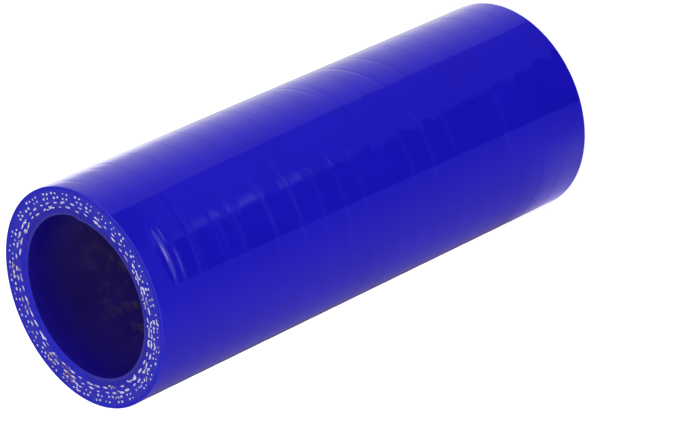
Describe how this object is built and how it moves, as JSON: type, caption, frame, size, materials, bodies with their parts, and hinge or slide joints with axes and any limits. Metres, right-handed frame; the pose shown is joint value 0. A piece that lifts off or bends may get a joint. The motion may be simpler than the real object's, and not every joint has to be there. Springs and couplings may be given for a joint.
{
  "type": "silicone hose coupler",
  "caption": "Straight tube of fabric-reinforced blue silicone rubber with square-cut ends, which joins two pipes or hose stubs end to end under band clamps.",
  "frame": {"origin": "centre of the lower cut end, on the axis of the outside", "axes": "+Z along the hose, from the lower cut end to the upper one; the wall is thinnest towards -Y"},
  "size_m": [0.038, 0.038, 0.1],
  "materials": {
    "silicone": "glossy blue silicone rubber, smooth outside with faint tape marks; matt where it is cut",
    "yarn": "white polyester yarn, cut through and showing as dots and dashes in the cut ends"
  },
  "bodies": {
    "root": {"hose": "silicone"}
  },
  "joints": []
}
